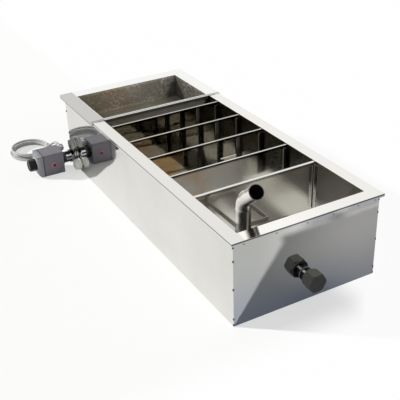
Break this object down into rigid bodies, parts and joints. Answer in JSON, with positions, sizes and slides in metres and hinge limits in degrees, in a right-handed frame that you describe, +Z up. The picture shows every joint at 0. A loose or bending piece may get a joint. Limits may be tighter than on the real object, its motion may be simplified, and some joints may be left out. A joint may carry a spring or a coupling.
{
  "type": "double settling tank",
  "caption": "Double-walled settling tank with a flanged rim, lift-out dividers, a sieve tray, a leaning suction pipe, a capped outlet and a screw-in jacket heater.",
  "frame": {"origin": "middle of the tank's flat bottom", "axes": "+X to the side away from the heater, +Y along the tank to the sieve tray, -Y to the outlet, +Z up"},
  "size_m": [0.58, 1.259, 0.3091],
  "materials": {
    "outer_steel": "polished",
    "inner_steel": "polished",
    "rim_steel": "polished",
    "tray_steel": "finely perforated, satin",
    "divider_steel": "polished",
    "pipe_steel": "polished",
    "bracket_steel": "satin",
    "fitting_steel": "turned",
    "neck_chrome": "polished",
    "element_metal": "oxidised",
    "outlet_plastic": "moulded",
    "nipple_plastic": "glossy",
    "seal_rubber": "matt",
    "fibre_seal": "matt",
    "head_plastic": "fine grain",
    "lid_plastic": "fine grain",
    "dial_plastic": "satin",
    "knob_plastic": "moulded",
    "lamp_lens": "clear red",
    "switch_plastic": "moulded",
    "gland_plastic": "moulded",
    "cable_jacket": "satin"
  },
  "bodies": {
    "tank": {"outer_shell": "outer_steel", "inner_tank": "inner_steel", "tank_rim": "rim_steel", "sieve_tray": "tray_steel", "tray_grate": "tray_steel", "fixed_divider": "divider_steel", "left_guides": "divider_steel", "right_guides": "divider_steel", "suction_pipe": "pipe_steel", "pipe_bracket": "bracket_steel", "pipe_clip": "bracket_steel", "outlet_socket": "fitting_steel", "outlet_seal": "seal_rubber", "outlet_nipple": "nipple_plastic", "heater_socket": "fitting_steel", "heater_gasket": "fibre_seal", "heater_neck": "neck_chrome", "heating_element": "element_metal", "sensor_pocket": "fitting_steel", "neck_ring": "seal_rubber", "head_base": "head_plastic", "head_gasket": "seal_rubber", "head_lid": "lid_plastic", "lid_screws": "fitting_steel", "dial_ring": "dial_plastic", "temperature_switch": "switch_plastic", "terminal_block": "switch_plastic", "lamp_bezel": "dial_plastic", "lamp_lens": "lamp_lens", "gland_body": "gland_plastic", "gland_nut": "gland_plastic", "cable_boot": "cable_jacket", "fill_socket": "fitting_steel", "fill_plug": "fitting_steel", "drain_socket": "fitting_steel", "drain_plug": "gland_plastic", "cable_run": "cable_jacket", "cable_coil": "cable_jacket", "cable_tail": "cable_jacket", "plug_body": "cable_jacket", "plug_pins": "fitting_steel"},
    "divider_1": {"divider_1": "divider_steel"},
    "divider_2": {"divider_2": "divider_steel"},
    "divider_3": {"divider_3": "divider_steel"},
    "divider_4": {"divider_4": "divider_steel"},
    "outlet_cap": {"outlet_cap": "outlet_plastic"},
    "knob": {"knob": "knob_plastic", "spindle": "fitting_steel"}
  },
  "joints": [
    {"name": "divider_1_lift", "type": "slide", "parent": "tank", "child": "divider_1", "axis": [0, 0, 1], "range_m": [0, 0.14]},
    {"name": "divider_2_lift", "type": "slide", "parent": "tank", "child": "divider_2", "axis": [0, 0, 1], "range_m": [0, 0.14]},
    {"name": "divider_3_lift", "type": "slide", "parent": "tank", "child": "divider_3", "axis": [0, 0, 1], "range_m": [0, 0.14]},
    {"name": "divider_4_lift", "type": "slide", "parent": "tank", "child": "divider_4", "axis": [0, 0, 1], "range_m": [0, 0.14]},
    {"name": "cap_turn", "type": "hinge", "parent": "tank", "child": "outlet_cap", "pos_m": [-0.007, -0.534, 0.075], "axis": [0, -1, 0], "continuous": true},
    {"name": "knob_turn", "type": "hinge", "parent": "tank", "child": "knob", "pos_m": [-0.34, 0.468, 0.036], "axis": [-1, 0, 0], "range_deg": [0, 270]}
  ]
}
